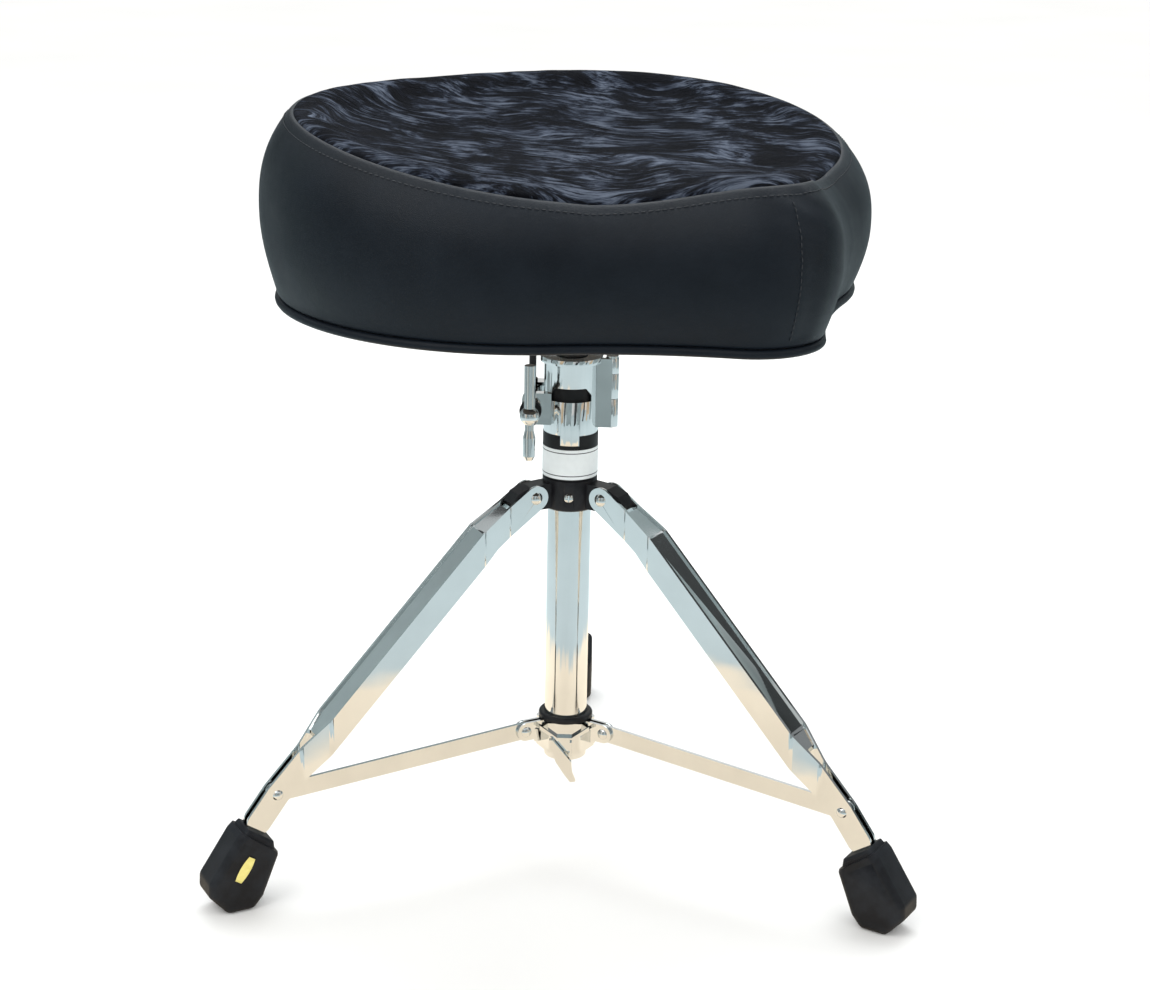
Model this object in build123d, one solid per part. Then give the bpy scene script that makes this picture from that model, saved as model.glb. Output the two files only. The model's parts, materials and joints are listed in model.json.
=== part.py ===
from build123d import *
from math import atan2, cos, degrees, hypot, radians, sin, sqrt
import os

# Drum throne: folding tripod, sliding post with a hinged clamp, saddle-shaped seat.
# Millimetres, +Z up, floor at z = 0. Shapes are drawn about the tube axis and
# then moved by AXIS_Y, so the origin is the centre of the whole part's footprint.
AXIS_Y = -39.287

# Base tube and post
TUBE_R = 15.0
TUBE_WALL = 2.0
TUBE_BOTTOM = 64.2
TUBE_TOP = 345.0
POST_R = 8.1
POST_BOTTOM = 118.0
POST_TOP = 398.95
RUN = 0.05

# Hub and its three ears
HUB_R = 19.0
HUB_BOTTOM = 250.7
HUB_TOP = 273.0
PIVOT_R = 30.0
PIVOT_Z = 261.2
PIVOT_PIN_R = 3.0
EAR_HALF = 6.7
SCREW_Z = 260.6
SCREW_R = 2.5
SCREW_HEAD_R = 3.4
SCREW_SEAT = -18.6

# Legs: pressed channels, seen in the radial plane
LEG_ANGLES = {"left": 210.0, "right": 330.0, "rear": 90.0}
LEG_HEIGHT = 17.4
LEG_BEND = (65.4, 236.1)
LEG_RIVET = (220.4, 76.2)
LEG_END = (234.0, 58.6)
SHEET = 2.2
HALF_AT_HUB = 9.0
HALF_MID = 11.5
HALF_PINCHED = 4.2
WEB_RECESS = 1.2
WEB_START = 51.0
WEB_END = 193.0

# Rubber feet
FOOT_HALF = 13.7
NECK_STEP = 2.0
NECK_HIGH = 7.0

# Collar and braces
COLLAR_RIVET = (33.0, 85.6)
COLLAR_R = 18.4
LINER_R = 16.2
RING_R = 19.2
RING_BOTTOM = 91.4
RING_TOP = 96.2
BRACE_HALF = 1.25
BRACE_HEIGHT = 12.4
BRACE_PIN_R = 2.5

# Clamp
CLAMP_R = 18.8
CLAMP_IN_R = 16.6
CLAMP_BOTTOM = 305.0
CLAMP_TOP = 358.0
HINGE_XY = (27.6, -3.0)
SWING_XY = (-27.0, 8.0)
BOLT_Z = 322.0
BOLT_R = 3.0
HANDLE_Y = -30.0

# Seat outline: nose, two flanks, two lobes and a flat rear arc, on the seat's own axes
SEAT_ANGLE = -50.0
LOBE_A = -3.0
LOBE_B = 46.0
LOBE_R = 158.0
NOSE_A = 172.0
NOSE_R = 49.0
FLANK_R = 330.0
REAR_R = 380.0
BOARD_BOTTOM = 402.0
BOARD_TOP = 414.0
PIPING_R = 2.9
PIPING_Z = 404.9
COVER_BOTTOM = 407.9
VINYL = 1.5
VELVET = 2.5


def save(name, *solids):
    """Write one node, moved to the row's frame."""
    moved = [Pos(0, AXIS_Y, 0) * solid for solid in solids]
    shape = moved[0] if len(moved) == 1 else Compound(children=moved)
    shape.label = name
    export_step(shape, "parts/" + name + ".step")


def ring(r_out, r_in, z0, z1):
    """Upright ring or, with r_in = 0, a disc."""
    face = Circle(r_out)
    if r_in > 0:
        face = face - Circle(r_in)
    return Pos(0, 0, z0) * extrude(face, z1 - z0)


def rod(x, y, r, z0, z1):
    """Upright rod off the axis."""
    return Pos(x, y, z0) * extrude(Circle(r), z1 - z0)


def block(x0, x1, y0, y1, z0, z1):
    """Box from its limits."""
    centre = Pos((x0 + x1) / 2, (y0 + y1) / 2, (z0 + z1) / 2)
    return centre * Box(x1 - x0, y1 - y0, z1 - z0)


def rod_y(x, z, r, y0, y1):
    """Rod along Y."""
    return Pos(x, (y0 + y1) / 2, z) * Rot(90, 0, 0) * Cylinder(r, y1 - y0)


def rod_x(y, z, r, x0, x1):
    """Rod along X."""
    return Pos((x0 + x1) / 2, y, z) * Rot(0, 90, 0) * Cylinder(r, x1 - x0)


def slab(face, half):
    """Face drawn in (r, z), thickened evenly about the radial plane."""
    return extrude(Plane.XZ * face, half, both=True)


def slot(p, q, height):
    """Round-ended bar between two points, as a face in (r, z)."""
    dx = q[0] - p[0]
    dy = q[1] - p[1]
    bar = SlotCenterToCenter(hypot(dx, dy), height)
    turned = Rot(0, 0, degrees(atan2(dy, dx))) * bar
    return Pos((p[0] + q[0]) / 2, (p[1] + q[1]) / 2) * turned


def rivet_head(x, z, r, high, y, side):
    """Domed head on a face at y, pointing towards side = +1 or -1."""
    ball_r = (r * r + high * high) / (2 * high)
    lean = radians(45) * r / ball_r
    mid = (ball_r * sin(lean), high - ball_r * (1 - cos(lean)))
    flat = Polyline((0, high), (0, 0), (r, 0))
    dome = revolve(make_face([flat, ThreePointArc((r, 0), mid, (0, high))]), Axis.Y)
    return Pos(x, y, z) * Rot(0, 0, 90 - 90 * side) * dome


def around(shape, angle):
    """Turn a shape drawn along +X to a leg's plan angle."""
    return Rot(0, 0, angle) * shape


# ---------------------------------------------------------------- legs
def leg_side():
    face = slot((PIVOT_R, PIVOT_Z), LEG_BEND, LEG_HEIGHT)
    face += slot(LEG_BEND, LEG_RIVET, LEG_HEIGHT)
    face += slot(LEG_RIVET, LEG_END, LEG_HEIGHT)
    return face


def leg_plan(inset):
    """Plan of the channel: narrow at the hub, wide in the middle, pinched at the foot."""
    hub = HALF_AT_HUB - inset
    mid = HALF_MID - inset
    end = HALF_PINCHED - inset
    half = [(15, hub), (50, hub), (70, mid), (184, mid), (203, end), (262, end)]
    other = [(x, -y) for x, y in reversed(half)]
    face = make_face(Polyline(*half, *other, close=True))
    bends = face.vertices().filter_by(lambda v: 40 < v.X < 220)
    return fillet(bends, 9.0 if inset == 0 else 8.0)


LEG_OUTER = slab(leg_side(), 20) & extrude(leg_plan(0), 300)


def make_leg():
    inner = extrude(leg_plan(SHEET), 300)
    flanges = LEG_OUTER - inner
    drop = Vector(-1, 0, -1).normalized()
    under = slab(leg_side(), 20)
    top = Location(drop * WEB_RECESS) * under
    low = Location(drop * (WEB_RECESS + SHEET)) * under
    web = (top - low) & inner
    web = web & block(WEB_START, WEB_END, -12, 12, 80, 270)
    leg = flanges + web
    leg -= rod_y(PIVOT_R, PIVOT_Z, PIVOT_PIN_R + RUN, -20, 20)
    leg -= rod_y(LEG_RIVET[0], LEG_RIVET[1], BRACE_PIN_R, -20, 20)
    return leg


def make_foot():
    """Moulded boot: rounded block in line with the leg's end, with a narrower neck."""
    sole = [(235, 8), (242, 0), (260.5, 0), (273, 14.5), (272.5, 24)]
    top = [(252, 54), (244, 61), (224.5, 47.5), (223.5, 36)]
    face = make_face(Polyline(*sole, *top, close=True))
    low = face.vertices().filter_by(lambda v: v.Y < 30)
    face = fillet(low, 5.5)
    face = fillet(face.vertices().filter_by(lambda v: v.Y > 33), 3.0)
    body = fillet(slab(face, FOOT_HALF).faces().filter_by(Axis.Y).edges(), 5.0)
    slim = slab(offset(face, -NECK_STEP), FOOT_HALF - NECK_STEP)
    slim = fillet(slim.faces().filter_by(Axis.Y).edges(), 2.5)
    lean = Vector(LEG_END[0] - LEG_RIVET[0], 0, LEG_END[1] - LEG_RIVET[1]).normalized()
    cut_at = Vector(233.5, 0, 54.5) + lean * NECK_HIGH
    above = Plane(origin=cut_at, z_dir=lean * -1) * Pos(0, 0, 50) * Box(160, 80, 100)
    return (body - above) + (slim & above) - LEG_OUTER


def make_leg_rivets():
    x, z = LEG_RIVET
    parts = []
    for side in (1, -1):
        inside = side * (HALF_PINCHED - SHEET)
        outside = side * HALF_PINCHED
        shank = rod_y(x, z, BRACE_PIN_R, min(inside, outside), max(inside, outside))
        parts.append(shank + rivet_head(x, z, 3.7, 2.0, outside, side))
    return parts


def make_brace():
    """Strip with a disc each side at the leg end, filling the channel's gap."""
    strip = slab(slot(COLLAR_RIVET, LEG_RIVET, BRACE_HEIGHT), BRACE_HALF)
    strip -= rod_y(COLLAR_RIVET[0], COLLAR_RIVET[1], BRACE_PIN_R + RUN, -5, 5)
    return strip + rod_y(LEG_RIVET[0], LEG_RIVET[1], 4.2, -1.9, 1.9)


leg = make_leg()
foot = make_foot()
leg_rivets = make_leg_rivets()
brace = make_brace()

# ---------------------------------------------------------------- base
base_tube = ring(TUBE_R, TUBE_R - TUBE_WALL, TUBE_BOTTOM, TUBE_TOP)
tube_plug = ring(TUBE_R, 0, 62.7, TUBE_BOTTOM)
tube_plug += ring(TUBE_R - TUBE_WALL, 0, TUBE_BOTTOM, 76)

ear_points = [(16, 252), (38, 252), (45.5, 254.5), (47, 259), (43, 265), (34, 269), (16, 270)]
ear = slab(make_face(Polyline(*ear_points, close=True)), EAR_HALF)
ear -= rod_y(PIVOT_R, PIVOT_Z, PIVOT_PIN_R, -20, 20)
pin = rod_y(PIVOT_R, PIVOT_Z, PIVOT_PIN_R, -9.1, 9.1)
pin += rivet_head(PIVOT_R, PIVOT_Z, 4.3, 2.4, 9.1, 1)
pin += rivet_head(PIVOT_R, PIVOT_Z, 4.3, 2.4, -9.1, -1)

hub = ring(HUB_R, 0, HUB_BOTTOM, HUB_TOP)
hub = chamfer(hub.edges().filter_by(GeomType.CIRCLE), 1.0)
for angle in LEG_ANGLES.values():
    hub += around(ear, angle)
hub -= ring(TUBE_R, 0, 240, 280)
hub -= rod_y(0, SCREW_Z, SCREW_R, -20, -14)
hub -= rod_y(0, SCREW_Z, SCREW_HEAD_R + 0.2, -20, SCREW_SEAT)
hub_screw = rod_y(0, SCREW_Z, SCREW_R, SCREW_SEAT, -15.2)
hub_screw += rivet_head(0, SCREW_Z, SCREW_HEAD_R, 1.8, SCREW_SEAT, -1)
for wide, high in ((2.2, 0.5), (0.5, 2.2)):
    hub_screw -= block(-wide, wide, -22, SCREW_SEAT - 0.9, SCREW_Z - high, SCREW_Z + high)

sleeve = ring(HUB_R, TUBE_R, HUB_TOP, 304.6)
sleeve += ring(CLAMP_IN_R, TUBE_R, 304.6, TUBE_TOP)
sleeve -= block(-6.8, 6.8, -25, 0, 297.4, 306) - ring(CLAMP_IN_R, 0, 290, 310)
label_band = ring(HUB_R + 0.25, HUB_R, 274.0, 295.0)

post_bush = ring(TUBE_R - TUBE_WALL, POST_R + RUN, 290, TUBE_TOP)
post_bush += ring(11.0, POST_R + RUN, TUBE_TOP, 358.6)

# ---------------------------------------------------------------- clamp
shell = ring(CLAMP_R, CLAMP_IN_R, CLAMP_BOTTOM, 354)
shell += ring(21.4, 11.0, 354, CLAMP_TOP)
front_half = block(-60, 60, -60, -0.5, 290, 370)
rear_half = block(-60, 60, 0.5, 60, 290, 370)

clamp_front = shell & front_half
tongue = ring(CLAMP_R, CLAMP_IN_R, 298, CLAMP_BOTTOM + 1) & block(-6.5, 6.5, -30, 0, 290, 320)
clamp_front += tongue
sill = [(-14, 328.5), (14, 328.5), (14, 333)]
arch = [(10.5, 338), (-10.5, 338), (-14, 333)]
window = make_face(Polyline(*sill, *arch, close=True))
window = fillet(window.vertices().filter_by(lambda v: v.Y > 330), 2.0)
clamp_front -= extrude(Plane.XZ * window, 30)
clamp_front += block(13, HINGE_XY[0], -8.0, -3.6, 309, 357) - ring(CLAMP_IN_R, 0, 300, 360)
hx, hy = HINGE_XY
clamp_front -= rod(hx, hy, 4.8, 328.7, 346.3)
clamp_front -= block(hx - 5, hx + 6, -4.5, 5, 328.7, 346.3)
clamp_front += rod(hx, hy, 4.6, 309, 328.5)
clamp_front += rod(hx, hy, 4.6, 346.5, 357)
clamp_front -= rod(hx, hy, 2.0, 300, 360)
# The screw lug on the other side, open outwards so the bolt can swing clear
lug = block(-33, -13, -16.2, -9.5, 312, 334)
lug = fillet(lug.edges().filter_by(Axis.Y).group_by(Axis.X)[0], 5.0)
lug -= block(-40, -27, -20, 0, BOLT_Z - 3.4, BOLT_Z + 3.4)
lug -= rod_y(SWING_XY[0], BOLT_Z, 3.4, -20, 0)
clamp_front += lug - ring(CLAMP_IN_R, 0, 300, 360)

clamp_rear = shell & rear_half
clamp_rear += block(13, hx, 0.5, 5.0, 329, 346) - ring(CLAMP_IN_R, 0, 300, 360)
clamp_rear += rod(hx, hy, 4.6, 329, 346)
clamp_rear += block(hx - 3.0, hx + 4.6, hy, 5.0, 329, 346) - block(hx - 6, hx + 6, -9, -1, 300, 360)
clamp_rear -= rod(hx, hy, 2.0, 300, 360)
sx, sy = SWING_XY
for z0, z1 in ((309, 316), (328, 337)):
    plate = block(sx, -12, sy - 5.5, sy + 5.5, z0, z1) + rod(sx, sy, 5.5, z0, z1)
    clamp_rear += plate - ring(CLAMP_IN_R, 0, 300, 360)
clamp_rear -= rod(sx, sy, 2.5, 300, 362)

hinge_pin = rod(hx, hy, 2.0, 308, 357) + rod(hx, hy, 4.2, 357, 358.6)
swing_pin = rod(sx, sy, 2.5, 305, 361)
swing_pin += rod(sx, sy, 3.6, 337, 338.6)

swing_bolt = rod(sx, sy, 5.5, 316.3, 327.7)
swing_bolt += rod_y(sx, BOLT_Z, BOLT_R, HANDLE_Y, sy - 3)
swing_bolt -= rod(sx, sy, 2.5 + RUN, 300, 340)
bolt_washer = rod_y(sx, BOLT_Z, 7.5, -18.5, -17.0) - rod_y(sx, BOLT_Z, BOLT_R, -19, -16)

t_handle = rod_y(sx, BOLT_Z, 5.6, -27, -18.8)
t_handle += Pos(sx, HANDLE_Y, BOLT_Z) * Sphere(6.6)
t_handle += rod(sx, HANDLE_Y, 3.75, BOLT_Z, 357)
arm = Polyline((0, 0), (3.1, 0), (3.1, -10), (4.2, -15), (4.2, -28), (2.6, -31), (0, -31), close=True)
t_handle += Pos(sx, HANDLE_Y, BOLT_Z) * revolve(Plane.XZ * make_face(arm), Axis.Z)
t_handle -= rod_y(sx, BOLT_Z, BOLT_R + RUN, HANDLE_Y - 0.5, -10)

# ---------------------------------------------------------------- collar
cup = RegularPolygon(COLLAR_R / cos(radians(30)), 6, rotation=0)
collar = Pos(0, 0, 69) * extrude(fillet(cup.vertices(), 3.0), RING_BOTTOM - 69)
for angle in LEG_ANGLES.values():
    plate_face = slot((20, 85.6), COLLAR_RIVET, 13.5) + Pos(20, 84.6) * Rectangle(12, 15.4)
    for side in (1, -1):
        plate = Pos(0, side * (BRACE_HALF + 1.15), 0) * slab(plate_face, 1.0)
        collar += around(plate, angle)
# The front wall is cut down to a V between the two front ear pairs, with a raised rim along it
rim_low = [(-17.5, 88), (-5.2, 79.5), (5.2, 79.5), (17.5, 88)]
rim_high = [(17.5, 91), (5.2, 82), (-5.2, 82), (-17.5, 91)]
rim_face = make_face(Polyline(*rim_low, *rim_high, close=True))
open_face = make_face(Polyline((-17.5, 91), (-5.2, 82), (5.2, 82), (17.5, 91), (17.5, 94), (-17.5, 94), close=True))
collar -= extrude(Plane.XZ.offset(LINER_R) * open_face, 12)
collar += extrude(Plane.XZ.offset(17.6) * rim_face, 2.0)
collar -= ring(LINER_R, 0, 60, 100)
collar -= ring(RING_R + 0.2, 0, RING_BOTTOM, 100)
collar -= block(-30, 30, -30, -LINER_R, 60, 71.5)
for angle in LEG_ANGLES.values():
    x, z = COLLAR_RIVET
    collar -= around(rod_y(x, z, BRACE_PIN_R, -5, 5), angle)
    gap = block(16.3, 45, -BRACE_HALF - 0.15, BRACE_HALF + 0.15, 77, 95)
    collar -= around(gap, angle)

collar_ring = ring(RING_R, TUBE_R + RUN, RING_BOTTOM, RING_TOP)
outer_edges = collar_ring.edges().filter_by(GeomType.CIRCLE).sort_by(lambda e: e.radius)[-2:]
collar_ring = fillet(outer_edges, 1.9)
collar_ring += ring(LINER_R, TUBE_R + RUN, 69, RING_BOTTOM)

# Front spur: a curved blade with a folded upper edge, hanging from the collar's front face
blade_left = [(-10.5, 81.5), (-9.6, 77), (-6, 64.5), (0, 55), (4.7, 48.7)]
blade_right = [(9.0, 49.4), (6.3, 56), (5.6, 61), (5.4, 65), (-8.2, 81.5)]
blade_face = make_face(Polyline(*blade_left, *blade_right, close=True))
blade_face = fillet(blade_face.vertices().filter_by(lambda v: v.Y < 54), 1.0)
blade = extrude(Plane.XZ.offset(20.4) * blade_face, 1.6)
fold_face = make_face(Polyline((-10.5, 81.5), (5.4, 62.6), (5.4, 65), (-8.2, 81.5), close=True))
fold = extrude(Plane.XZ.offset(19.6) * fold_face, 3.6)
post_plate = block(4.0, 5.4, -22.0, -18.4, 64, 79.5)
collar_spur = blade + fold + post_plate

collar_rivets = []
for angle in LEG_ANGLES.values():
    x, z = COLLAR_RIVET
    rivet = rod_y(x, z, BRACE_PIN_R, -3.4, 3.4)
    rivet += rivet_head(x, z, 4.0, 2.0, 3.4, 1)
    rivet += rivet_head(x, z, 4.0, 2.0, -3.4, -1)
    collar_rivets.append(around(rivet, angle))

# ---------------------------------------------------------------- seat
def circle_meet(p, rp, q, rq, side):
    """One crossing point of two circles."""
    dx = q[0] - p[0]
    dy = q[1] - p[1]
    d = hypot(dx, dy)
    along = (rp * rp - rq * rq + d * d) / (2 * d)
    off = side * sqrt(rp * rp - along * along)
    return (p[0] + (along * dx - off * dy) / d, p[1] + (along * dy + off * dx) / d)


def on_circle(centre, r, angle):
    return (centre[0] + r * cos(angle), centre[1] + r * sin(angle))


def seat_face(grow):
    """Seat outline grown outwards by a distance; every arc keeps its centre."""
    lobe = (LOBE_A, LOBE_B)
    nose = (NOSE_A, 0)
    flank = circle_meet(lobe, LOBE_R + FLANK_R, nose, NOSE_R + FLANK_R, 1)
    rear_a = LOBE_A + sqrt((REAR_R - LOBE_R) ** 2 - LOBE_B ** 2)
    rear = (rear_a, 0)
    flank_lobe = atan2(lobe[1] - flank[1], lobe[0] - flank[0])
    flank_nose = atan2(nose[1] - flank[1], nose[0] - flank[0])
    rear_lobe = atan2(lobe[1], lobe[0] - rear[0])
    r_flank = FLANK_R - grow
    r_lobe = LOBE_R + grow
    on_lobe = on_circle(flank, r_flank, flank_lobe)
    on_nose = on_circle(flank, r_flank, flank_nose)
    on_rear = on_circle(rear, REAR_R + grow, rear_lobe)
    mid_flank = on_circle(flank, r_flank, (flank_lobe + flank_nose) / 2)
    start = atan2(on_lobe[1] - lobe[1], on_lobe[0] - lobe[0])
    mid_lobe = on_circle(lobe, r_lobe, (start + rear_lobe) / 2)
    tip = (NOSE_A + NOSE_R + grow, 0)
    back = (rear_a - REAR_R - grow, 0)

    def flip(p):
        return (p[0], -p[1])

    edges = [ThreePointArc(flip(on_nose), tip, on_nose)]
    edges.append(ThreePointArc(on_nose, mid_flank, on_lobe))
    edges.append(ThreePointArc(on_lobe, mid_lobe, on_rear))
    edges.append(ThreePointArc(on_rear, back, flip(on_rear)))
    edges.append(ThreePointArc(flip(on_rear), flip(mid_lobe), flip(on_lobe)))
    edges.append(ThreePointArc(flip(on_lobe), flip(mid_flank), flip(on_nose)))
    return make_face(edges)


def side_shape(inset):
    """Bulging wall of the cushion, taller than the finished seat."""
    heights = [(COVER_BOTTOM, -2.0), (432, 6.0), (460, 9.0), (492, 3.0), (545, -17.0)]
    return loft([Pos(0, 0, z) * seat_face(grow - inset) for z, grow in heights])


def dish(drop):
    """Space above the dished top: an arc fore and aft, swung about a high cross axis."""
    arc = ThreePointArc((-230, 560.5 - drop), (73.5, 490 - drop), (270, 519.6 - drop))
    lid = Polyline((270, 519.6 - drop), (270, 640), (-230, 640), (-230, 560.5 - drop))
    face = Plane.XZ * make_face([arc, lid])
    axis = Axis((0, 0, 1740), (1, 0, 0))
    swung = revolve(face, axis, 30)
    return swung.rotate(axis, -15)


def turned(shape):
    return Rot(0, 0, SEAT_ANGLE) * shape


outer = side_shape(0)
inner = side_shape(VINYL)
above = dish(0)
seat_side_cover = (outer - inner) - above
foam_body = inner & block(-260, 260, -260, 260, BOARD_TOP, 600)
seat_foam = foam_body - dish(VELVET)
seat_top_cover = (inner - above) & dish(VELVET)

seat_board = Pos(0, 0, BOARD_BOTTOM) * extrude(seat_face(-6.2), BOARD_TOP - BOARD_BOTTOM)
path = seat_face(-PIPING_R).face().outer_wire()
start = path @ 0
profile = Plane(origin=start, z_dir=path % 0) * Circle(PIPING_R)
seat_piping = Pos(0, 0, PIPING_Z) * sweep(profile, path=path)

mount_plate = Pos(0, 0, 399) * extrude(RectangleRounded(112, 112, 10), 3)
plate_bolts = []
for sx_bolt in (-1, 1):
    for sy_bolt in (-1, 1):
        px = 42 * sx_bolt
        py = 42 * sy_bolt
        shank = rod(px, py, 3.0, 399, 411)
        mount_plate -= rod(px, py, 3.0, 390, 404)
        seat_board -= rod(px, py, 3.0, 400, 411)
        plate_bolts.append(turned(shank + rod(px, py, 6.0, 395.4, 399)))

post_socket = ring(13.5, POST_R + RUN, 372.5, 399)
post_socket += ring(20.0, POST_R + RUN, 396, 399)
boss = rod_x(0, 383, 6.0, 9, 15.5) - ring(POST_R + RUN, 0, 360, 399)
post_socket += boss
post_socket -= rod_x(0, 383, 2.5, 8, 20)
socket_screw = rod_x(0, 383, 2.5, 8.6, 15.5) + rod_x(0, 383, 4.2, 15.5, 19.6)

seat_post = chamfer(ring(POST_R, 0, POST_BOTTOM, POST_TOP).edges(), 0.8)

# ---------------------------------------------------------------- write the nodes
os.makedirs("parts", exist_ok=True)
save("base_tube", base_tube)
save("tube_plug", tube_plug)
save("hub", hub)
save("hub_screw", hub_screw)
save("sleeve", sleeve)
save("label_band", label_band)
save("post_bush", post_bush)
save("clamp_front", clamp_front)
save("clamp_rear", clamp_rear)
save("hinge_pin", hinge_pin)
save("swing_pin", swing_pin)
save("swing_bolt", swing_bolt)
save("bolt_washer", bolt_washer)
save("t_handle", t_handle)
save("seat_post", seat_post)
save("collar", collar)
save("collar_ring", collar_ring)
save("collar_spur", collar_spur)
for index, name in enumerate(LEG_ANGLES):
    angle = LEG_ANGLES[name]
    save("leg_" + name, around(leg, angle))
    save("foot_" + name, around(foot, angle))
    save("brace_" + name, around(brace, angle))
    save("pivot_pin_" + name, around(pin, angle))
    save("leg_rivet_" + name, *[around(r, angle) for r in leg_rivets])
    save("collar_rivet_" + name, collar_rivets[index])
save("post_socket", post_socket)
save("socket_screw", socket_screw)
save("mount_plate", turned(mount_plate))
save("plate_bolts", *plate_bolts)
save("seat_board", turned(seat_board))
save("seat_foam", turned(seat_foam))
save("seat_side_cover", turned(seat_side_cover))
save("seat_top_cover", turned(seat_top_cover))
save("seat_piping", turned(seat_piping))
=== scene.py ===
import json
from math import atan2, cos, hypot, pi, radians, sin, sqrt

import bmesh
import bpy
from mathutils import Matrix, Vector, noise


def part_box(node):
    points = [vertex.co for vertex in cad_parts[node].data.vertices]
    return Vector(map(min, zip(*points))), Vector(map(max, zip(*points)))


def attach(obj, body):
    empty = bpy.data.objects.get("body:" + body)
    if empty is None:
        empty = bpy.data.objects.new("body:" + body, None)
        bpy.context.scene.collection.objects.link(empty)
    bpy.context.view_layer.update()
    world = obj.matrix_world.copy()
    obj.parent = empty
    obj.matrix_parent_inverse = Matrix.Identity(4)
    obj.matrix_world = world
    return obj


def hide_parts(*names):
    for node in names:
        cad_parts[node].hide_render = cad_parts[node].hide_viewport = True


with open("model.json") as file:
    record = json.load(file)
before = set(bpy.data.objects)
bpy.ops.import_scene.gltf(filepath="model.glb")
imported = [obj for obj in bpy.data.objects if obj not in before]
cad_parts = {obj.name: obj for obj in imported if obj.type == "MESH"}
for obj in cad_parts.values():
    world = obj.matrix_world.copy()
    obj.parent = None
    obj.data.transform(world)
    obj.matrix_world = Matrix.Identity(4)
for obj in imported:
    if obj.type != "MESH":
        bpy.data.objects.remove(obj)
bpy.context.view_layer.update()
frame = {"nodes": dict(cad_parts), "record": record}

NODES = frame["nodes"]

# The post's axis, from the frame
post_low, post_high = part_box("seat_post")
AXIS = Vector(((post_low[0] + post_high[0]) / 2, (post_low[1] + post_high[1]) / 2, 0))

# Seat outline, as in the frame's cushion: nose, two hollow flanks, two lobes, flat rear
SEAT_TURN = radians(-50.0)
LOBE = (-0.003, 0.046)
LOBE_R = 0.158
NOSE = (0.172, 0.0)
NOSE_R = 0.049
FLANK_R = 0.330
REAR_R = 0.380
COVER_BOTTOM = 0.4079
PIPING_Z = 0.4049
PIPING_R = 0.0029

# Seam height over the floor along the seat's length
DIP_Z = 0.490
BACK_RISE = 0.039
NOSE_RISE = 0.015
DIP_START = -0.165
DIP_END = 0.135
NOSE_END = 0.218
EDGE_INSET = 0.013


# ------------------------------------------------------------------ node helpers
def new_material(name):
    material = bpy.data.materials.new(name)
    material.use_nodes = True
    tree = material.node_tree
    shader = tree.nodes["Principled BSDF"]
    return material, tree, shader


def add(tree, kind, inputs=None, **settings):
    """One shader node; inputs are sockets to link or values to set."""
    node = tree.nodes.new(kind)
    for key, value in settings.items():
        setattr(node, key, value)
    for key, value in (inputs or {}).items():
        if isinstance(value, bpy.types.NodeSocket):
            tree.links.new(value, node.inputs[key])
        else:
            node.inputs[key].default_value = value
    return node


def ramp(tree, factor, stops):
    """Colour ramp from (position, colour) stops."""
    node = add(tree, "ShaderNodeValToRGB", {"Fac": factor})
    elements = node.color_ramp.elements
    while len(elements) < len(stops):
        elements.new(0.5)
    for element, (place, colour) in zip(elements, stops):
        element.position = place
        element.color = (*colour, 1) if len(colour) == 3 else (colour[0],) * 3 + (1,)
    return node.outputs["Color"]


def place(tree, scale=(1, 1, 1)):
    """Object coordinates in metres, stretched."""
    coord = add(tree, "ShaderNodeTexCoord")
    mapping = add(tree, "ShaderNodeMapping", {"Vector": coord.outputs["Object"], "Scale": scale})
    return mapping.outputs["Vector"]


def bumps(tree, height, distance, strength=1.0, under=None):
    inputs = {"Height": height, "Distance": distance, "Strength": strength}
    if under is not None:
        inputs["Normal"] = under
    return add(tree, "ShaderNodeBump", inputs).outputs["Normal"]


def noise_tex(tree, where, scale, detail=3.0, rough=0.5, distortion=0.0):
    inputs = {"Vector": where, "Scale": scale, "Detail": detail}
    inputs["Roughness"] = rough
    inputs["Distortion"] = distortion
    return add(tree, "ShaderNodeTexNoise", inputs)


def mix(tree, factor, a, b, blend="MIX"):
    node = add(tree, "ShaderNodeMix", {}, data_type="RGBA", blend_type=blend)
    for socket, value in ((0, factor), (6, a), (7, b)):
        if isinstance(value, bpy.types.NodeSocket):
            tree.links.new(value, node.inputs[socket])
        elif socket == 0:
            node.inputs[0].default_value = value
        else:
            node.inputs[socket].default_value = (*value, 1)
    return node.outputs[2]


# ------------------------------------------------------------------ materials
def chrome(name, tint, rough):
    """Plated steel: a trace of haze, faint draw marks and slightly wavy pressing."""
    material, tree, shader = new_material(name)
    where = place(tree)
    haze = noise_tex(tree, where, 45.0, 4.0)
    fine = noise_tex(tree, place(tree, (1, 1, 0.15)), 900.0, 2.0)
    colour = ramp(tree, haze.outputs["Fac"], [(0.3, [c * 0.94 for c in tint]), (0.7, tint)])
    tree.links.new(colour, shader.inputs["Base Color"])
    levels = ramp(tree, haze.outputs["Fac"], [(0.35, (rough,)), (0.75, (rough * 1.9,))])
    tree.links.new(levels, shader.inputs["Roughness"])
    shader.inputs["Metallic"].default_value = 1.0
    waves = bumps(tree, noise_tex(tree, where, 28.0, 1.0).outputs["Fac"], 0.0006, 0.35)
    tree.links.new(bumps(tree, fine.outputs["Fac"], 0.00001, 0.3, waves), shader.inputs["Normal"])
    return material


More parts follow.
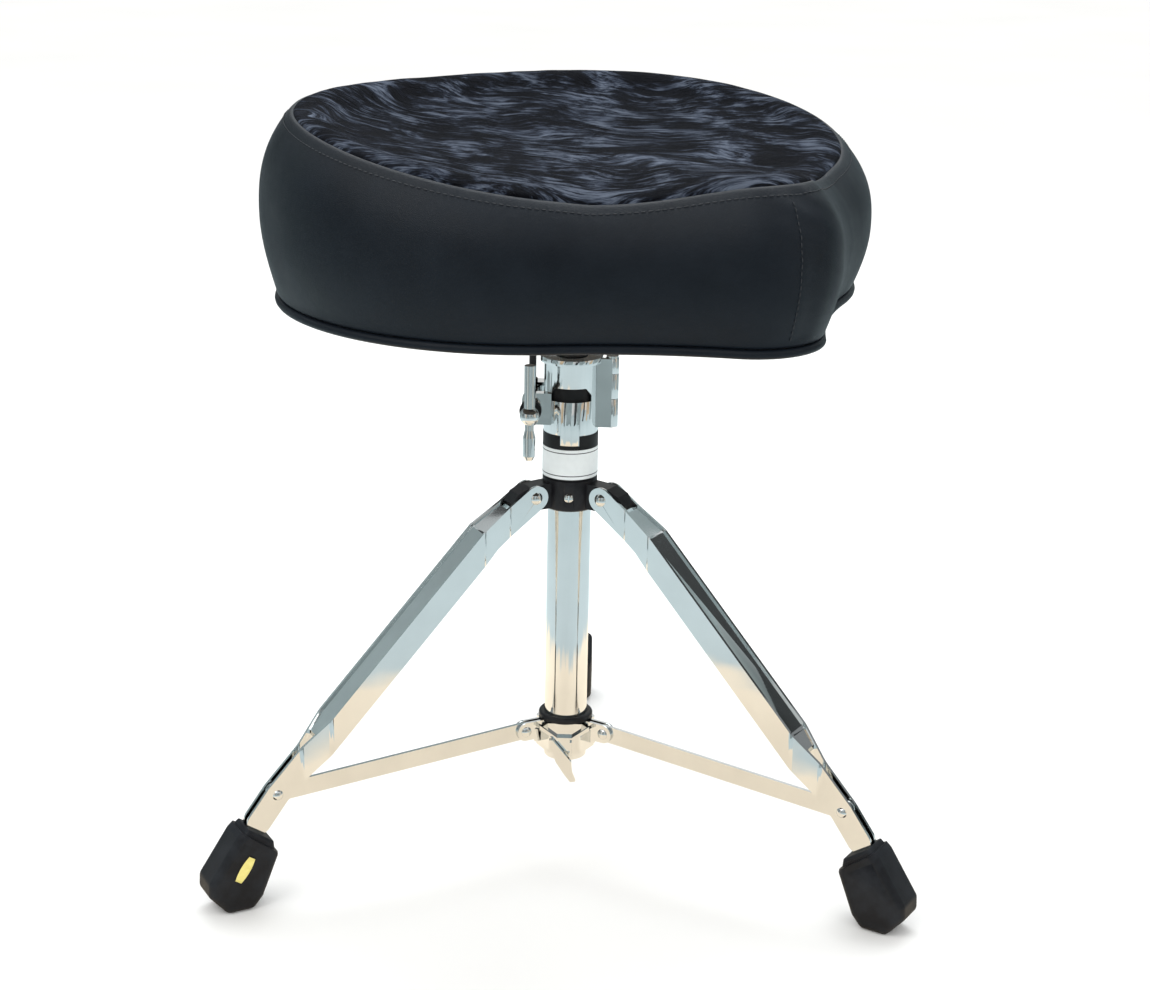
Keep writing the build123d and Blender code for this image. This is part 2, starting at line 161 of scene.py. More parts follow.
def moulded(name, dark, light, rough, grain, depth):
    """Moulded or cast black: fine grain, scuffs that are a little paler and duller."""
    material, tree, shader = new_material(name)
    where = place(tree)
    cloud = noise_tex(tree, where, 60.0, 5.0, 0.6)
    speck = noise_tex(tree, where, grain, 2.0)
    colour = ramp(tree, cloud.outputs["Fac"], [(0.38, dark), (0.72, light)])
    tree.links.new(colour, shader.inputs["Base Color"])
    levels = ramp(tree, cloud.outputs["Fac"], [(0.3, (rough * 0.85,)), (0.75, (rough * 1.25,))])
    tree.links.new(levels, shader.inputs["Roughness"])
    shader.inputs["Specular IOR Level"].default_value = 0.22
    tree.links.new(bumps(tree, speck.outputs["Fac"], depth, 0.6), shader.inputs["Normal"])
    return material


def plywood():
    """Dark stained board, seen from below."""
    material, tree, shader = new_material("stained_ply")
    grain = noise_tex(tree, place(tree, (4, 55, 55)), 6.0, 6.0, 0.6, 1.2)
    colour = ramp(tree, grain.outputs["Fac"], [(0.3, (0.016, 0.012, 0.009)), (0.7, (0.05, 0.037, 0.026))])
    tree.links.new(colour, shader.inputs["Base Color"])
    shader.inputs["Roughness"].default_value = 0.75
    tree.links.new(bumps(tree, grain.outputs["Fac"], 0.0004, 0.5), shader.inputs["Normal"])
    return material


def label_print():
    """Pale printed band: plain field between two thin dark lines."""
    material, tree, shader = new_material("label_print")
    low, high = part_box("label_band")
    coord = add(tree, "ShaderNodeTexCoord").outputs["Object"]
    height = add(tree, "ShaderNodeSeparateXYZ", {"Vector": coord}).outputs["Z"]
    span = {"Value": height, "From Min": low[2], "From Max": high[2]}
    part = add(tree, "ShaderNodeMapRange", span).outputs["Result"]
    pale = (0.80, 0.85, 0.85)
    ink = (0.03, 0.03, 0.035)
    bands = [(0.0, pale), (0.10, ink), (0.13, pale), (0.87, ink), (0.90, pale)]
    node = add(tree, "ShaderNodeValToRGB", {"Fac": part})
    node.color_ramp.interpolation = "CONSTANT"
    while len(node.color_ramp.elements) < len(bands):
        node.color_ramp.elements.new(0.5)
    for element, (spot, colour) in zip(node.color_ramp.elements, bands):
        element.position = spot
        element.color = (*colour, 1)
    wear = noise_tex(tree, coord, 220.0, 4.0)
    dirt = ramp(tree, wear.outputs["Fac"], [(0.3, (0.96,)), (0.6, (1.0,))])
    tree.links.new(mix(tree, 1.0, node.outputs["Color"], dirt, "MULTIPLY"), shader.inputs["Base Color"])
    shader.inputs["Roughness"].default_value = 0.32
    shader.inputs["Coat Weight"].default_value = 0.3
    tree.links.new(bumps(tree, wear.outputs["Fac"], 0.00005, 0.4), shader.inputs["Normal"])
    return material


def vinyl(name):
    """Near-black navy upholstery vinyl: pebbled grain, soft stretch creases, worn gloss."""
    material, tree, shader = new_material(name)
    where = place(tree)
    grain = {"Vector": where, "Scale": 1150.0}
    cells = add(tree, "ShaderNodeTexVoronoi", grain, feature="DISTANCE_TO_EDGE")
    pebble = ramp(tree, cells.outputs["Distance"], [(0.0, (0.0,)), (0.25, (1.0,))])
    cloud = noise_tex(tree, where, 24.0, 4.0, 0.6)
    creases = noise_tex(tree, place(tree, (1, 1, 2.4)), 34.0, 5.0, 0.55, 0.8)
    navy = [(0.3, (0.0035, 0.0060, 0.0100)), (0.75, (0.0060, 0.0100, 0.0160))]
    colour = ramp(tree, cloud.outputs["Fac"], navy)
    tree.links.new(colour, shader.inputs["Base Color"])
    levels = ramp(tree, cloud.outputs["Fac"], [(0.3, (0.33,)), (0.72, (0.45,))])
    tree.links.new(levels, shader.inputs["Roughness"])
    shader.inputs["Specular IOR Level"].default_value = 0.20
    shader.inputs["Sheen Weight"].default_value = 0.03
    shader.inputs["Sheen Roughness"].default_value = 0.2
    shader.inputs["Sheen Tint"].default_value = (0.55, 0.74, 0.90, 1)
    soft = bumps(tree, creases.outputs["Fac"], 0.0010, 0.22)
    tree.links.new(bumps(tree, pebble, 0.00012, 0.55, soft), shader.inputs["Normal"])
    return material


def brushed(tree, where, turn, scale):
    """Streaks that run one way across the pile."""
    lay = add(tree, "ShaderNodeMapping", {"Vector": where, "Rotation": (0, 0, turn), "Scale": scale})
    return noise_tex(tree, lay.outputs["Vector"], 1.0, 5.0, 0.62, 0.3).outputs["Fac"]


def math_node(tree, operation, a, b):
    return add(tree, "ShaderNodeMath", {0: a, 1: b}, operation=operation).outputs["Value"]


def velvet():
    """Crushed velvet: pile brushed in swirls, with painted sheen where it leans away and painted shade
    between.
    """
    material, tree, shader = new_material("crushed_velvet")
    where = place(tree)
    drift = noise_tex(tree, where, 9.0, 2.0)
    centred = {0: drift.outputs["Color"], 1: (0.5, 0.5, 0.5)}
    offset = add(tree, "ShaderNodeVectorMath", centred, operation="SUBTRACT").outputs["Vector"]
    push = add(tree, "ShaderNodeVectorMath", {0: offset, "Scale": 0.10}, operation="SCALE").outputs["Vector"]
    bent = add(tree, "ShaderNodeVectorMath", {0: where, 1: push}, operation="ADD").outputs["Vector"]
    side = ramp(tree, noise_tex(tree, where, 13.0, 1.0).outputs["Fac"], [(0.46, (0.0,)), (0.54, (1.0,))])
    first = brushed(tree, bent, -0.35, (42, 230, 42))
    second = brushed(tree, bent, -1.25, (42, 210, 42))
    mixed = add(tree, "ShaderNodeMix", {0: side, 2: first, 3: second}).outputs[0]
    hair_a = brushed(tree, bent, -0.35, (190, 1700, 190))
    hair_b = brushed(tree, bent, -1.25, (190, 1700, 190))
    hair = add(tree, "ShaderNodeMix", {0: side, 2: hair_a, 3: hair_b}).outputs[0]
    patch = noise_tex(tree, bent, 30.0, 3.0, 0.55).outputs["Fac"]
    feather = math_node(tree, "MULTIPLY", math_node(tree, "SUBTRACT", mixed, 0.5), 1.25)
    tone = math_node(tree, "ADD", patch, feather)
    hairs = math_node(tree, "MULTIPLY", math_node(tree, "SUBTRACT", hair, 0.5), 0.80)
    tone = math_node(tree, "ADD", tone, hairs)
    # Painted sheen and shade: the pile's light patches and dark gaps are painted into its base colour
    painted_pile_shade = [(0.40, (0.0008, 0.0010, 0.0022)), (0.51, (0.0050, 0.0068, 0.0120))]
    stops = painted_pile_shade + [(0.60, (0.034, 0.043, 0.064)), (0.76, (0.110, 0.132, 0.175))]
    tree.links.new(ramp(tree, tone, stops), shader.inputs["Base Color"])
    shader.inputs["Roughness"].default_value = 0.9
    shader.inputs["Specular IOR Level"].default_value = 0.05
    shader.inputs["Sheen Weight"].default_value = 0.05
    shader.inputs["Sheen Roughness"].default_value = 0.4
    shader.inputs["Sheen Tint"].default_value = (0.45, 0.52, 0.66, 1)
    folds = bumps(tree, tone, 0.003, 0.6)
    tree.links.new(bumps(tree, hair, 0.0006, 0.7, folds), shader.inputs["Normal"])
    return material


def thread():
    material, tree, shader = new_material("thread")
    twist = add(tree, "ShaderNodeTexWave", {"Vector": place(tree), "Scale": 900.0, "Distortion": 1.0})
    strands = [(0.0, (0.002, 0.0025, 0.0035)), (1.0, (0.035, 0.042, 0.052))]
    colour = ramp(tree, twist.outputs["Fac"], strands)
    tree.links.new(colour, shader.inputs["Base Color"])
    shader.inputs["Roughness"].default_value = 0.7
    tree.links.new(bumps(tree, twist.outputs["Fac"], 0.0001, 0.6), shader.inputs["Normal"])
    return material


def sticker_print():
    material, tree, shader = new_material("sticker")
    spots = noise_tex(tree, place(tree), 300.0, 3.0)
    colour = ramp(tree, spots.outputs["Fac"], [(0.3, (0.80, 0.68, 0.19)), (0.7, (0.89, 0.79, 0.27))])
    tree.links.new(colour, shader.inputs["Base Color"])
    shader.inputs["Roughness"].default_value = 0.45
    return material


MATERIALS = {
    "chrome": chrome("chrome_plate", (0.78, 0.80, 0.80), 0.035),
    "satin_black": moulded("satin_black", (0.010, 0.010, 0.012), (0.024, 0.025, 0.028), 0.34, 900.0, 0.00006),
    "black_nylon": moulded("black_nylon", (0.007, 0.007, 0.008), (0.017, 0.018, 0.020), 0.42, 700.0, 0.00004),
    "rubber": moulded("foot_rubber", (0.006, 0.007, 0.010), (0.018, 0.021, 0.026), 0.55, 520.0, 0.00012),
    "black_screw": moulded("black_oxide", (0.010, 0.010, 0.011), (0.03, 0.03, 0.032), 0.36, 800.0, 0.00003),
    "plate_steel": moulded("black_paint", (0.008, 0.008, 0.009), (0.02, 0.02, 0.021), 0.45, 600.0, 0.00008),
    "label": label_print(),
    "board": plywood(),
    "vinyl": vinyl("upholstery_vinyl"),
    "velvet": velvet(),
    "thread": thread(),
    "sticker": sticker_print(),
}


# ------------------------------------------------------------------ CAD nodes
SOFTENED = ("clamp", "leg_left", "leg_right", "leg_rear", "collar", "brace", "hub", "foot")
SOFT_NODES = ("seat_foam", "seat_side_cover", "seat_top_cover", "seat_piping")


def dress_cad_nodes():
    slots = {part["node"]: part["material_slot"] for part in frame["record"]["subparts"]}
    for name, obj in NODES.items():
        if name in SOFT_NODES:
            continue
        material = MATERIALS["chrome" if name == "tube_plug" else slots[name]]
        if obj.data.materials:
            for index in range(len(obj.data.materials)):
                obj.data.materials[index] = material
        else:
            obj.data.materials.append(material)
        if name.startswith(SOFTENED):
            soften(obj)


def soften(obj):
    """Broken edges: the facets are welded and their sharp edges rounded a little."""
    weld = obj.modifiers.new("weld", "WELD")
    weld.merge_threshold = 0.000005
    bevel = obj.modifiers.new("edge", "BEVEL")
    bevel.width = 0.00035
    bevel.segments = 2
    bevel.limit_method = "ANGLE"
    bevel.angle_limit = radians(38)
    bevel.use_clamp_overlap = True
    bevel.harden_normals = True


# ------------------------------------------------------------------ seat outline
def circle_meet(p, rp, q, rq):
    """The crossing of two circles on the left of the line from p to q."""
    dx = q[0] - p[0]
    dy = q[1] - p[1]
    gap = hypot(dx, dy)
    along = (rp * rp - rq * rq + gap * gap) / (2 * gap)
    off = sqrt(rp * rp - along * along)
    return (p[0] + (along * dx - off * dy) / gap, p[1] + (along * dy + off * dx) / gap)


def outline_arcs():
    """Arcs of one half, nose to rear: (centre, radius, bulge sign, first angle, last angle)."""
    flank = circle_meet(LOBE, LOBE_R + FLANK_R, NOSE, NOSE_R + FLANK_R)
    rear = (LOBE[0] + sqrt((REAR_R - LOBE_R) ** 2 - LOBE[1] ** 2), 0.0)
    to_nose = atan2(NOSE[1] - flank[1], NOSE[0] - flank[0])
    to_lobe = atan2(LOBE[1] - flank[1], LOBE[0] - flank[0])
    nose_end = atan2(flank[1] - NOSE[1], flank[0] - NOSE[0])
    lobe_start = atan2(flank[1] - LOBE[1], flank[0] - LOBE[0])
    rear_angle = atan2(LOBE[1], LOBE[0] - rear[0])
    arcs = [(NOSE, NOSE_R, 1, 0.0, nose_end)]
    arcs.append((flank, FLANK_R, -1, to_nose, to_lobe))
    arcs.append((LOBE, LOBE_R, 1, lobe_start, rear_angle))
    arcs.append((rear, REAR_R, 1, rear_angle, pi))
    return arcs


def half_point(arcs, lengths, run):
    """Arc and angle at a distance along the half outline."""
    for arc, length in zip(arcs, lengths):
        if run <= length:
            return arc, arc[3] + (arc[4] - arc[3]) * run / length
        run -= length
    return arcs[-1], arcs[-1][4]


def outline(count):
    """Evenly spaced points round the seat; each is a function of how far it is grown."""
    arcs = outline_arcs()
    lengths = [radius * abs(last - first) for _, radius, _, first, last in arcs]
    half = sum(lengths)
    stations = []
    for index in range(count):
        run = 2 * half * index / count
        mirrored = run > half
        arc, angle = half_point(arcs, lengths, 2 * half - run if mirrored else run)
        stations.append((arc, angle, -1 if mirrored else 1))
    return stations


def station_point(station, grow):
    (centre, radius, sign, _, _), angle, side = station
    reach = radius + sign * grow
    return (centre[0] + reach * cos(angle), side * (centre[1] + reach * sin(angle)))


def rim_height(a):
    """Height of the seam: high at the back, a dip on each flank, a small rise at the nose."""
    if a < DIP_END:
        part = min(max((a - DIP_START) / (DIP_END - DIP_START), 0.0), 1.0)
        return DIP_Z + BACK_RISE * (0.5 + 0.5 * cos(pi * part)) ** 0.48
    part = min((a - DIP_END) / (NOSE_END - DIP_END), 1.0)
    return DIP_Z + NOSE_RISE * (0.5 - 0.5 * cos(pi * part))


def to_world(a, b, z):
    x = a * cos(SEAT_TURN) - b * sin(SEAT_TURN)
    y = a * sin(SEAT_TURN) + b * cos(SEAT_TURN)
    return Vector((AXIS.x + x, AXIS.y + y, z))


def smooth(t):
    return t * t * (3 - 2 * t)


def wall_grow(v):
    """How far the wall stands out at a fraction of its height."""
    if v < 0.48:
        return -0.002 + 0.0105 * sin(pi / 2 * v / 0.48)
    part = (v - 0.48) / 0.52
    return 0.0085 - 0.0215 * part ** 2.6


# ------------------------------------------------------------------ cushion
ROUND = 264
WALL_RINGS = 30
TOP_RINGS = 34
TOP_CENTRE = (0.012, 0.0)
CENTRE_Z = 0.4985


def cushion_rings():
    """Closed cushion as rings: bottom to seam, then seam to the middle of the top."""
    stations = outline(ROUND)
    rings = []
    for ring in range(WALL_RINGS + 1):
        v = ring / WALL_RINGS
        points = []
        for station in stations:
            rim = rim_height(station_point(station, -EDGE_INSET)[0])
            a, b = station_point(station, wall_grow(v))
            points.append(to_world(a, b, COVER_BOTTOM + (rim - COVER_BOTTOM) * v))
        rings.append(points)
    for ring in range(1, TOP_RINGS):
        u = 1 - ring / TOP_RINGS
        points = []
        for station in stations:
            edge = station_point(station, -EDGE_INSET)
            rim = rim_height(edge[0])
            a = TOP_CENTRE[0] + (edge[0] - TOP_CENTRE[0]) * u
            b = TOP_CENTRE[1] + (edge[1] - TOP_CENTRE[1]) * u
            roll = 0.0035 * sin(pi * min((1 - u) / 0.16, 1.0))
            z = CENTRE_Z + (rim - CENTRE_Z) * u ** 2.1 + roll
            points.append(to_world(a, b, z))
        rings.append(points)
    return rings


def ring_mesh(name, rings, cap_first, cap_last):
    """Quads between rings of equal length, with a fan at either end."""
    count = len(rings[0])
    verts = [point for ring in rings for point in ring]
    faces = []
    for ring in range(len(rings) - 1):
        for index in range(count):
            after = (index + 1) % count
            low = ring * count
            faces.append((low + index, low + after, low + count + after, low + count + index))
    for wanted, ring, flip in ((cap_first, 0, True), (cap_last, len(rings) - 1, False)):
        if not wanted:
            continue
        middle = sum(rings[ring], Vector()) / count
        verts.append(middle)
        for index in range(count):
            pair = (ring * count + index, ring * count + (index + 1) % count)
            faces.append((*(reversed(pair) if flip else pair), len(verts) - 1))
    mesh = bpy.data.meshes.new(name)
    mesh.from_pydata(verts, [], faces)
    mesh.update()
    return mesh


def link(name, mesh, material, smooth_shade=True):
    obj = bpy.data.objects.new(name, mesh)
    bpy.context.scene.collection.objects.link(obj)
    obj.data.materials.append(material)
    if smooth_shade:
        obj.data.polygons.foreach_set("use_smooth", [True] * len(obj.data.polygons))
    return obj


CLOTH_FRAMES = 18
WALL_MOVE = 0.0022
TOP_MOVE = 0.0008


def inflate(rings):
    """Blow the closed cover up a little with Cloth, held at its base and its seam."""
    mesh = ring_mesh("cushion_sim", rings, True, True)
    obj = link("cushion_sim", mesh, MATERIALS["vinyl"])
    start = [vert.co.copy() for vert in mesh.vertices]
    held = obj.vertex_groups.new(name="held")
    base = list(range(ROUND * 2)) + [len(rings) * ROUND]
    seam = list(range(WALL_RINGS * ROUND, (WALL_RINGS + 1) * ROUND))
    held.add(base, 1.0, "REPLACE")
    held.add(seam, 0.9, "REPLACE")
    cloth = obj.modifiers.new("cloth", "CLOTH")
    settings = cloth.settings
    settings.quality = 5
    settings.mass = 0.3
    settings.tension_stiffness = 22
    settings.compression_stiffness = 16
    settings.shear_stiffness = 8
    settings.bending_stiffness = 6
    settings.use_pressure = True
    settings.uniform_pressure_force = 2.5
    settings.vertex_group_mass = "held"
    settings.shrink_min = 0.0
    settings.effector_weights.gravity = 0
    cloth.collision_settings.use_collision = False
    scene = bpy.context.scene
    for number in range(1, CLOTH_FRAMES + 1):
        scene.frame_set(number)
    shape = obj.evaluated_get(bpy.context.evaluated_depsgraph_get())
    moved = [vert.co.copy() for vert in shape.data.vertices]
    scene.frame_set(1)
    bpy.data.objects.remove(obj)
    result = []
    for number, (before, after) in enumerate(zip(start, moved)):
        most = WALL_MOVE if number < (WALL_RINGS + 1) * ROUND else TOP_MOVE
        step = after - before
        if step.length > most:
            step *= most / step.length
        result.append(before + step)
    return [result[ring * ROUND:(ring + 1) * ROUND] for ring in range(len(rings))] + [[result[-1]]]


def seam_puckers(rings):
    """Small pulls in the vinyl beside the nose seam and along the top stitching."""
    middle = to_world(0.02, 0, 0.45)
    for ring in range(2, WALL_RINGS):
        v = ring / WALL_RINGS
        for index in range(ROUND):
            around = min(index, ROUND - index)
            point = rings[ring][index]
            out = Vector((point.x - middle.x, point.y - middle.y, 0)).normalized()
            pull = 0.0
            if around < 7:
                pull += 0.0006 * sin(v * 40 + index) * (1 - around / 7) * smooth(v)
            if around < 2:
                pull -= 0.0012 - 0.0005 * around
            if v > 0.80:
                pull += 0.0004 * sin(index * 2.3) * noise.noise(point * 40) * (v - 0.80) / 0.20
            wide = noise.noise(Vector((point.x * 12, point.y * 12, point.z * 20)))
            pull += 0.0004 * wide * sin(pi * v)
            rings[ring][index] = point + out * pull


def build_cushion():
    """Wall of vinyl and top of velvet, each an open shell, sewn at the seam."""
    rings = cushion_rings()
    base_middle = to_world(0.02, 0, COVER_BOTTOM)
    rings = inflate(rings)
    centre = rings.pop()
    seam_puckers(rings)
    wall = rings[:WALL_RINGS + 1]
    tuck = []
    inner = rings[WALL_RINGS + 1]
    for edge, next_in in zip(wall[-1], inner):
        tuck.append(edge.lerp(next_in, 0.30) - Vector((0, 0, 0.0012)))
    base = [point.lerp(base_middle, 0.02) for point in wall[0]]
    cover_mesh = ring_mesh("side_cover", [base] + wall + [tuck], False, False)
    cover = link("side_cover", cover_mesh, MATERIALS["vinyl"])

    top_rings = []
    first = []
    for edge, next_in in zip(wall[-1], inner):
        first.append(edge.lerp(next_in, 0.18) - Vector((0, 0, 0.0022)))
    top_rings.append(first)
    second = []
    for edge, next_in in zip(wall[-1], inner):
        second.append(edge.lerp(next_in, 0.42) + Vector((0, 0, 0.0004)))
    top_rings.append(second)
    for ring in rings[WALL_RINGS + 1:]:
        top_rings.append([crushed(point) for point in ring])
    mesh = ring_mesh("top_cover", top_rings, False, True)
    mesh.vertices[-1].co = centre[0]
    top = link("top_cover", mesh, MATERIALS["velvet"])
    for piece, slot_name in ((cover, "vinyl"), (top, "velvet")):
        smoother = piece.modifiers.new("subdivision", "SUBSURF")
        smoother.levels = 1
        smoother.render_levels = 1
        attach(piece, "seat")
    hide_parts("seat_side_cover", "seat_foam")
    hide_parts("seat_top_cover")
    return rings


def crushed(point):
    """Gentle lumps in the pile."""
    wide = noise.noise(Vector((point.x * 22, point.y * 22, 0.3)))
    fine = noise.noise(Vector((point.x * 60, point.y * 60, 4.1)))
    return point + Vector((0, 0, 0.0013 * wide + 0.0006 * fine))


# ------------------------------------------------------------------ piping and stitching
def build_piping():
    """Welted cord round the bottom edge."""
    rings = []
    stations = outline(ROUND)
    around = 14
    for step in range(around):
        angle = 2 * pi * step / around
        ring = []
        for station in stations:
            a, b = station_point(station, -PIPING_R + PIPING_R * cos(angle))
            ring.append(to_world(a, b, PIPING_Z + PIPING_R * sin(angle)))
        rings.append(ring)
    rings.append(rings[0])
    mesh = ring_mesh("piping", rings, False, False)
    piping = link("piping", mesh, MATERIALS["vinyl"])
    weld = piping.modifiers.new("weld", "WELD")
    weld.merge_threshold = 0.00001
    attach(piping, "seat")
    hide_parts("seat_piping")


STITCH_DROP = 0.0075
STITCH_PITCH = 0.0042


def stitch_run(path, normals, pitch, length, radius, name):
    """A row of thread stitches along a path, each a short rounded bar lying on the surface."""
    built = bmesh.new()
    travelled = 0.0
    for here, there, normal in zip(path, path[1:], normals):
        step = (there - here).length
        while travelled < step:
            middle = here.lerp(there, travelled / step)
            along = (there - here).normalized()
            across = normal.cross(along).normalized()
            up = along.cross(across).normalized()
            if up.dot(normal) < 0:
                up = -up
            turn = Matrix((along, across, up)).transposed().to_4x4()
            turn.translation = middle + normal * radius * 0.35
            stretch = Matrix.Diagonal((length / 2 / radius, 1, 0.8, 1))
            size = Matrix.Scale(radius, 4)
            bmesh.ops.create_icosphere(built, subdivisions=2, radius=1.0, matrix=turn @ stretch @ size)
            travelled += pitch
        travelled -= step
    mesh = bpy.data.meshes.new(name)
    built.to_mesh(mesh)
    built.free()
    row = link(name, mesh, MATERIALS["thread"])
    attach(row, "seat")
    return row


def wall_normal(rings, ring, index):
    after = rings[ring][(index + 1) % ROUND] - rings[ring][index - 1]
    up = rings[ring + 1][index] - rings[ring - 1][index]
    return after.cross(up).normalized()


def build_stitching(rings):
    """One row just below the seam and one down the nose."""
    path = []
    normals = []
    for index in range(ROUND + 1):
        spot = index % ROUND
        left = STITCH_DROP
        ring = WALL_RINGS
        point = rings[ring][spot]
        while left > 0:
            span = (rings[ring - 1][spot] - rings[ring][spot]).length
            if span >= left:
                point = rings[ring][spot].lerp(rings[ring - 1][spot], left / span)
                break
            left -= span
            ring -= 1
        path.append(point)
        normals.append(wall_normal(rings, min(ring, WALL_RINGS - 1), spot))
    stitch_run(path, normals, STITCH_PITCH, 0.0031, 0.00045, "top_stitching")
    seam = [rings[ring][-2] for ring in range(2, WALL_RINGS - 2)]
    out = [wall_normal(rings, ring, -2) for ring in range(2, WALL_RINGS - 2)]
    stitch_run(seam, out, STITCH_PITCH, 0.0030, 0.00042, "nose_stitching")


# ------------------------------------------------------------------ sticker on the left foot
STICKER_OUT = 0.2485
STICKER_SIDE = 0.01405
STICKER_Z = 0.0315
STICKER_HALF = 0.0094


def build_sticker():
    """Blank barrel-shaped sticker, flat on the side of the left foot."""
    turn = radians(210)
    radial = Vector((cos(turn), sin(turn), 0))
    across = Vector((-sin(turn), cos(turn), 0))
    centre = AXIS + radial * STICKER_OUT + across * STICKER_SIDE + Vector((0, 0, STICKER_Z))
    tall = Vector((-radial.x * 0.55, -radial.y * 0.55, 0.83)).normalized()
    wide = across.cross(tall).normalized()
    verts = []
    faces = []
    columns = 10
    for row in range(9):
        t = row / 8 * 2 - 1
        half = 0.0036 - 0.0012 * t * t
        for column in range(columns + 1):
            s = column / columns * 2 - 1
            verts.append(centre + tall * STICKER_HALF * t + wide * half * s + across * 0.0001)
    for row in range(8):
        for column in range(columns):
            low_left = row * (columns + 1) + column
            faces.append((low_left, low_left + 1, low_left + columns + 2, low_left + columns + 1))
    mesh = bpy.data.meshes.new("foot_sticker")
    mesh.from_pydata(verts, [], faces)
    sticker = link("foot_sticker", mesh, MATERIALS["sticker"])
    thick = sticker.modifiers.new("thickness", "SOLIDIFY")
    thick.thickness = 0.0002
    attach(sticker, "leg_left")


# ------------------------------------------------------------------ stage, light, camera
def build_stage():
    material, tree, shader = new_material("floor")
    where = place(tree)
    cloud = noise_tex(tree, where, 2.0, 3.0)
    colour = ramp(tree, cloud.outputs["Fac"], [(0.3, (0.87, 0.87, 0.86)), (0.7, (0.90, 0.90, 0.89))])
    # Painted reflection: in reflections only, the ground is painted warm near the object and cool further out
    reach = add(tree, "ShaderNodeVectorMath", {0: where}, operation="LENGTH").outputs["Value"]
    edge = math_node(tree, "MULTIPLY", noise_tex(tree, where, 7.0, 4.0).outputs["Fac"], 0.16)
    painted_reflection_stops = [(0.45, (0.92, 0.79, 0.62)), (0.49, (0.50, 0.58, 0.60)), (1.0, (0.40, 0.48, 0.50))]
    painted_floor_reflection = ramp(tree, math_node(tree, "ADD", reach, edge), painted_reflection_stops)
    mirrored = add(tree, "ShaderNodeLightPath").outputs["Is Glossy Ray"]
    tree.links.new(mix(tree, mirrored, colour, painted_floor_reflection), shader.inputs["Base Color"])
    shader.inputs["Roughness"].default_value = 0.9
    mesh = bpy.data.meshes.new("floor")
    far = 30.0
    mesh.from_pydata([(-far, -far, 0), (far, -far, 0), (far, far, 0), (-far, far, 0)], [], [(0, 1, 2, 3)])
    link("floor", mesh, material, False)


def build_world():
    """Soft white studio; in reflections the walls have brighter panels and dark gaps."""
    world = bpy.data.worlds.new("studio")
    bpy.context.scene.world = world
    world.use_nodes = True
    tree = world.node_tree
    background = tree.nodes["Background"]
    way = add(tree, "ShaderNodeTexCoord").outputs["Generated"]
    around = add(tree, "ShaderNodeTexGradient", {"Vector": way}, gradient_type="RADIAL").outputs["Fac"]
    pale = (0.34, 0.40, 0.40)
    warm = (0.75, 0.55, 0.36)
    dark = (0.03, 0.035, 0.04)
    white = (1.0, 1.0, 0.98)
    stops = [(0.0, pale), (0.06, dark), (0.10, white), (0.20, pale), (0.26, white)]
    stops += [(0.33, dark), (0.36, warm), (0.46, white), (0.52, pale), (0.60, dark)]
    stops += [(0.64, pale), (0.74, white), (0.84, dark), (0.88, pale)]
    walls = ramp(tree, around, stops)
    height = add(tree, "ShaderNodeSeparateXYZ", {"Vector": way}).outputs["Z"]
    rise = {"Value": height, "From Min": 0.25, "From Max": 0.75}
    up = add(tree, "ShaderNodeMapRange", rise).outputs["Result"]
    seen = mix(tree, up, walls, (1.0, 1.03, 1.05))
    plain = add(tree, "ShaderNodeLightPath").outputs["Is Glossy Ray"]
    tree.links.new(mix(tree, plain, (1.36, 1.36, 1.35), seen), background.inputs["Color"])
    background.inputs["Strength"].default_value = 0.85


CARD_DISTANCE = 0.95
CARD_BOTTOM = 0.02
CARD_TOP = 0.95


def build_cards():
    """Cards round the object that show only in its reflections, as in a photo studio."""
    tones = {"dark": (0.02, 0.024, 0.026), "slate": (0.26, 0.32, 0.33), "tan": (0.52, 0.40, 0.27)}
    # Bearing in degrees from the front, tone, width
    cards = [(-165, "slate", 0.30), (-140, "dark", 0.18), (-112, "slate", 0.48)]
    cards += [(-78, "dark", 0.14), (-60, "slate", 0.34), (-36, "tan", 0.13)]
    cards += [(-24, "dark", 0.10), (-6, "slate", 0.34), (16, "dark", 0.09)]
    cards += [(32, "slate", 0.30), (52, "dark", 0.12), (70, "tan", 0.16)]
    cards += [(92, "slate", 0.40), (118, "dark", 0.18), (146, "slate", 0.40)]
    for number, (bearing, tone, width) in enumerate(cards):
        material, tree, shader = new_material("card_" + tone)
        cloud = noise_tex(tree, place(tree), 3.0, 2.0)
        deep = [c * 0.6 for c in tones[tone]]
        shade = ramp(tree, cloud.outputs["Fac"], [(0.3, deep), (0.7, tones[tone])])
        tree.links.new(shade, shader.inputs["Base Color"])
        turn = radians(bearing)
        middle = Vector((sin(turn), -cos(turn), 0)) * CARD_DISTANCE
        across = Vector((cos(turn), sin(turn), 0)) * width / 2
        low = Vector((0, 0, CARD_BOTTOM))
        high = Vector((0, 0, CARD_TOP))
        corners = [middle - across + low, middle + across + low]
        corners += [middle + across + high, middle - across + high]
        mesh = bpy.data.meshes.new("card")
        mesh.from_pydata(corners, [], [(0, 1, 2, 3)])
        card = link("card_%d" % number, mesh, material, False)
        card.visible_camera = False
        card.visible_diffuse = False
        card.visible_shadow = False


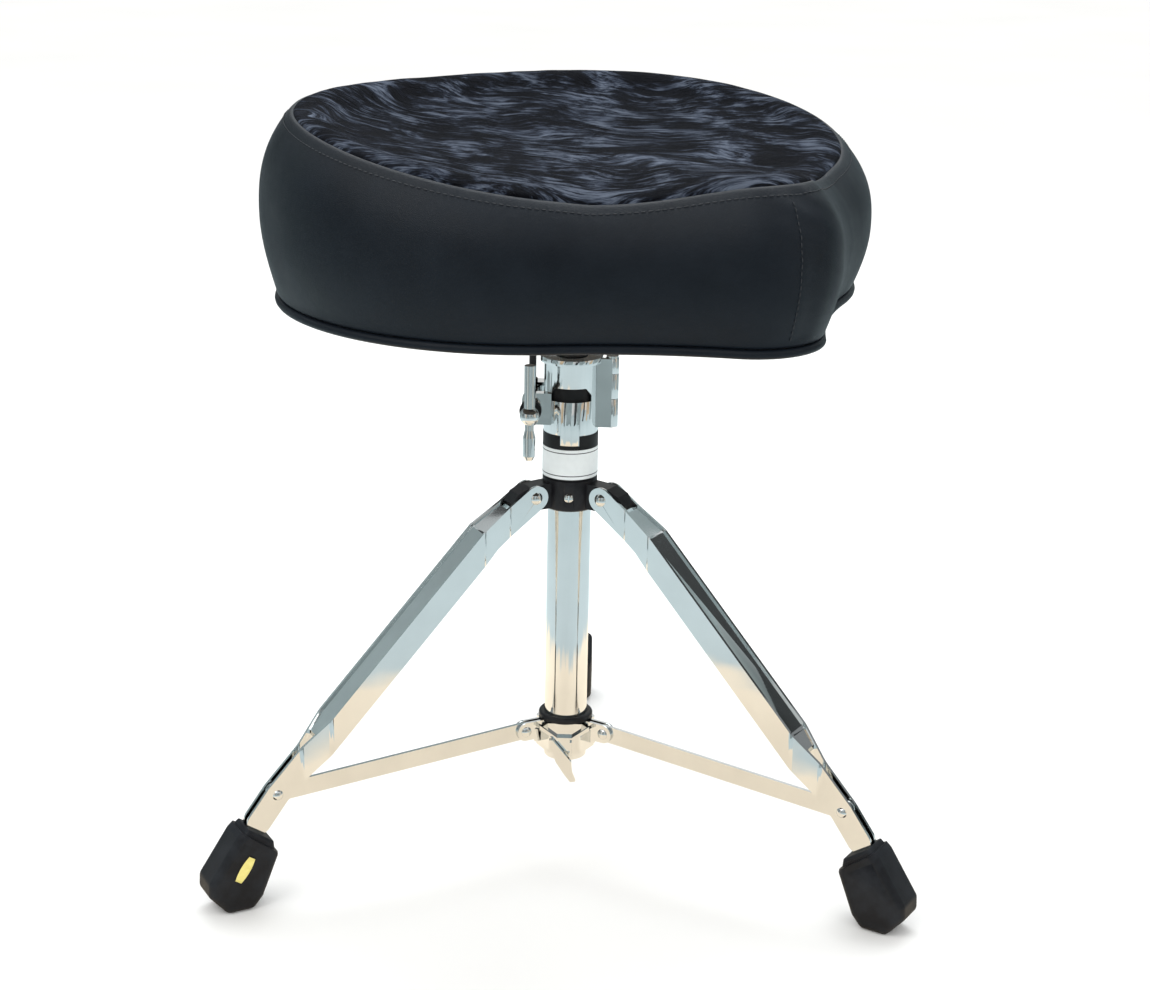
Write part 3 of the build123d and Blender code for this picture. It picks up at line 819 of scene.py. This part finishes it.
def area(name, spot, size, power, colour=(1, 1, 1)):
    light = bpy.data.lights.new(name, "AREA")
    light.shape = "RECTANGLE"
    light.size, light.size_y = size
    light.energy = power
    light.color = colour
    obj = bpy.data.objects.new(name, light)
    bpy.context.scene.collection.objects.link(obj)
    obj.location = spot
    aim = Vector((0, 0, 0.35)) - Vector(spot)
    obj.rotation_euler = aim.to_track_quat("-Z", "Y").to_euler()


def build_lights():
    area("key", (-1.1, -1.2, 2.3), (1.4, 1.0), 12, (1.0, 0.98, 0.95))
    area("top", (0.1, 0.9, 2.0), (2.0, 1.2), 26, (0.93, 0.97, 1.0))


CAMERA_DISTANCE = 1.4138
CAMERA_HEIGHT = 0.7129
CAMERA_PITCH = radians(17.861)
CAMERA_ROLL = radians(1.093)
CAMERA_AZIMUTH = radians(1.715)
CAMERA_YAW = radians(-0.155)
CAMERA_LENS = 66.96


def build_camera():
    data = bpy.data.cameras.new("camera")
    data.lens = CAMERA_LENS
    data.sensor_width = 36.0
    data.clip_end = 100
    camera = bpy.data.objects.new("camera", data)
    bpy.context.scene.collection.objects.link(camera)
    turn = CAMERA_AZIMUTH + CAMERA_YAW
    ahead = Vector((-sin(turn) * cos(CAMERA_PITCH), cos(turn) * cos(CAMERA_PITCH), -sin(CAMERA_PITCH)))
    right = ahead.cross(Vector((0, 0, 1))).normalized()
    up = right.cross(ahead)
    tilted_right = right * cos(CAMERA_ROLL) + up * sin(CAMERA_ROLL)
    tilted_up = up * cos(CAMERA_ROLL) - right * sin(CAMERA_ROLL)
    matrix = Matrix((tilted_right, tilted_up, -ahead)).transposed().to_4x4()
    spot = Vector((sin(CAMERA_AZIMUTH), -cos(CAMERA_AZIMUTH), 0)) * CAMERA_DISTANCE
    matrix.translation = AXIS + spot + Vector((0, 0, CAMERA_HEIGHT))
    camera.matrix_world = matrix
    bpy.context.scene.camera = camera


dress_cad_nodes()
cushion = build_cushion()
build_piping()
build_stitching(cushion)
build_sticker()
build_stage()
build_world()
build_cards()
build_lights()
build_camera()
bpy.context.scene.view_settings.view_transform = "Standard"
